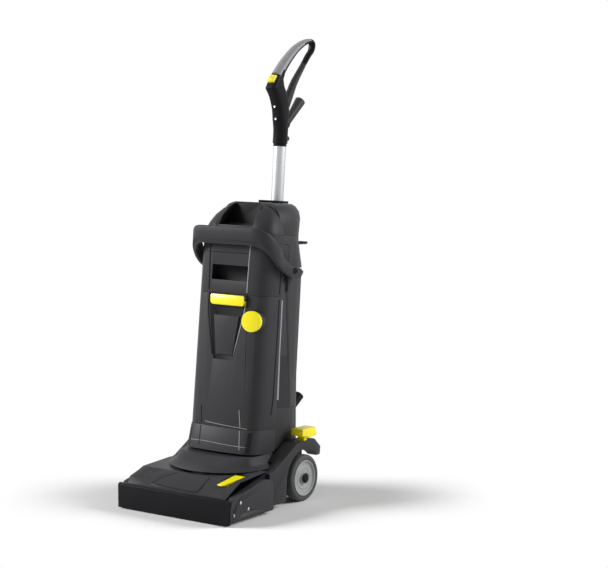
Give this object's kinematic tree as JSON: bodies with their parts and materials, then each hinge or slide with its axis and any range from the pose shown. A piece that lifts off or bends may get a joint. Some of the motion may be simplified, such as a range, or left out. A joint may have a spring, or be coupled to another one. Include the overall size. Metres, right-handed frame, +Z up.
{
  "type": "wet dry floor scrubber",
  "caption": "Upright floor scrubber drier: low roller head on wheels, squeegees, suction, and a tilting column with removable tanks, carry bail and loop handle",
  "frame": {"origin": "on the floor, under the middle of the machine's bounding box, with the column locked upright at its stored lean", "axes": "+Z up; the machine's front with the roller faces -Y; its right-hand side, with the foot pedal, is +X"},
  "size_m": [0.335, 0.5636, 1.1063],
  "materials": {
    "charcoal_plastic": "fine-grained dark grey moulded plastic",
    "black_plastic": "satin black moulded plastic",
    "dark_plastic": "plain dark inner plastic",
    "grey_plastic": "mid grey soft-touch plastic",
    "disc_grey": "light grey smooth moulded plastic",
    "yellow_plastic": "bright yellow smooth plastic",
    "tyre": "matt dark soft rubber",
    "rubber": "matt black rubber",
    "belt_rubber": "matt black reinforced rubber",
    "steel": "zinc-plated steel",
    "tube_metal": "satin light metal tube",
    "microfibre": "white microfibre pile with narrow green stripes"
  },
  "bodies": {
    "base": {"chassis_frame": "black_plastic", "deck_cover": "charcoal_plastic", "front_bumper": "black_plastic", "belt_cover": "charcoal_plastic", "collar_hood": "charcoal_plastic", "drive_belt": "belt_rubber", "brush_motor": "grey_plastic", "front_squeegee_blade": "rubber", "suction_duct": "black_plastic", "axle": "steel", "axle_cap_left": "black_plastic", "axle_cap_right": "black_plastic", "fender_left": "charcoal_plastic", "fender_right": "charcoal_plastic"},
    "bearing_side": {"bearing_cover": "charcoal_plastic", "cover_screw_1": "steel", "cover_screw_2": "steel", "cover_screw_3": "steel"},
    "roller": {"roller_core": "grey_plastic", "roller_sleeve": "microfibre", "roller_pulley": "steel"},
    "motor_drive": {"motor_pulley": "steel"},
    "lever": {"release_lever": "yellow_plastic"},
    "squeegee": {"rear_squeegee_blade": "rubber", "rear_squeegee_bar": "black_plastic"},
    "pedal": {"foot_pedal": "yellow_plastic"},
    "wheel_left": {"wheel_tyre_left": "tyre", "wheel_hub_left": "disc_grey"},
    "wheel_right": {"wheel_tyre_right": "tyre", "wheel_hub_right": "disc_grey"},
    "column": {"column_foot": "black_plastic", "tank_tray": "charcoal_plastic", "lower_housing": "charcoal_plastic", "rear_housing": "charcoal_plastic", "top_hood": "charcoal_plastic", "turbine_motor": "black_plastic", "suction_pipe": "grey_plastic", "rear_ledge": "black_plastic", "lower_cord_hook": "black_plastic", "handle_tube": "tube_metal", "tube_collar": "black_plastic", "handle_front_shell": "black_plastic", "handle_rear_shell": "black_plastic", "handle_grip": "grey_plastic", "handle_screw_1": "steel", "handle_screw_2": "steel", "cord_gland": "rubber"},
    "fresh_unit": {"fresh_tank": "charcoal_plastic", "fresh_tank_lid": "dark_plastic", "shield_plate": "grey_plastic", "knob_collar": "grey_plastic"},
    "fresh_cap": {"fresh_tank_cap": "grey_plastic"},
    "dirty_unit": {"dirty_tank": "charcoal_plastic"},
    "lid": {"tank_lid": "charcoal_plastic"},
    "latch": {"tank_latch": "yellow_plastic"},
    "knob": {"dosing_knob": "yellow_plastic"},
    "bail": {"bail_handle": "charcoal_plastic"},
    "fan": {"turbine_fan": "grey_plastic"},
    "switch": {"power_switch": "yellow_plastic"},
    "cord_hook": {"upper_cord_hook": "black_plastic"}
  },
  "joints": [
    {"name": "column_tilt", "type": "hinge", "parent": "base", "child": "column", "pos_m": [0, 0.02822, 0.057], "axis": [-1, 0, 0], "range_deg": [0, 55]},
    {"name": "wheel_left_spin", "type": "hinge", "parent": "base", "child": "wheel_left", "pos_m": [-0.145, 0.02822, 0.057], "axis": [1, 0, 0], "continuous": true},
    {"name": "wheel_right_spin", "type": "hinge", "parent": "base", "child": "wheel_right", "pos_m": [0.145, 0.02822, 0.057], "axis": [1, 0, 0], "continuous": true},
    {"name": "roller_spin", "type": "hinge", "parent": "base", "child": "roller", "pos_m": [0, -0.22978, 0.03], "axis": [1, 0, 0], "continuous": true},
    {"name": "motor_pulley_spin", "type": "hinge", "parent": "base", "child": "motor_drive", "pos_m": [-0.155, -0.13678, 0.066], "axis": [1, 0, 0], "continuous": true},
    {"name": "foot_pedal_press", "type": "hinge", "parent": "base", "child": "pedal", "pos_m": [0.139, 0.04022, 0.136], "axis": [-1, 0, 0], "range_deg": [0, 12]},
    {"name": "rear_squeegee_lift", "type": "slide", "parent": "base", "child": "squeegee", "axis": [0, 0, 1], "range_m": [0, 0.0121]},
    {"name": "release_lever_lift", "type": "hinge", "parent": "base", "child": "lever", "pos_m": [0.115, -0.17578, 0.084], "axis": [-1, 0, 0], "range_deg": [0, 60]},
    {"name": "bearing_cover_pull", "type": "slide", "parent": "base", "child": "bearing_side", "axis": [1, 0, 0], "range_m": [0, 0.06]},
    {"name": "fresh_tank_draw", "type": "slide", "parent": "column", "child": "fresh_unit", "axis": [0, -0.9962, 0.0872], "range_m": [0, 0.1]},
    {"name": "fresh_cap_turn", "type": "hinge", "parent": "fresh_unit", "child": "fresh_cap", "pos_m": [0, -0.02622, 0.49039], "axis": [0, 0.0872, 0.9962], "range_deg": [0, 90]},
    {"name": "tank_latch_open", "type": "hinge", "parent": "fresh_unit", "child": "latch", "pos_m": [0, -0.07244, 0.49884], "axis": [-1, 0, 0], "range_deg": [0, 30]},
    {"name": "dosing_knob_turn", "type": "hinge", "parent": "fresh_unit", "child": "knob", "pos_m": [0.079, -0.07116, 0.44463], "axis": [0.1908, -0.9779, 0.0856], "range_deg": [0, 270]},
    {"name": "dirty_tank_lift", "type": "slide", "parent": "column", "child": "dirty_unit", "axis": [0, 0.0872, 0.9962], "range_m": [0, 0.1]},
    {"name": "tank_lid_open", "type": "hinge", "parent": "dirty_unit", "child": "lid", "pos_m": [0, 0.02409, 0.72119], "axis": [-1, 0, 0], "range_deg": [0, 70]},
    {"name": "bail_swing", "type": "hinge", "parent": "column", "child": "bail", "pos_m": [0, 0.03403, 0.55941], "axis": [1, 0, 0], "range_deg": [0, 50]},
    {"name": "turbine_fan_spin", "type": "hinge", "parent": "column", "child": "fan", "pos_m": [0.036, 0.07491, 0.54479], "axis": [0, 0.0872, 0.9962], "continuous": true},
    {"name": "power_switch_slide", "type": "slide", "parent": "column", "child": "switch", "axis": [0, -0.6962, -0.7179], "range_m": [0, 0.01]},
    {"name": "upper_cord_hook_turn", "type": "hinge", "parent": "column", "child": "cord_hook", "pos_m": [0, 0.16625, 0.9062], "axis": [0, 0.9962, -0.0872], "range_deg": [0, 180]}
  ],
  "couplings": [
    {"joint": "motor_pulley_spin", "follows": "roller_spin", "ratio": 1.5},
    {"joint": "rear_squeegee_lift", "follows": "foot_pedal_press", "m_per_rad": 0.0573}
  ]
}
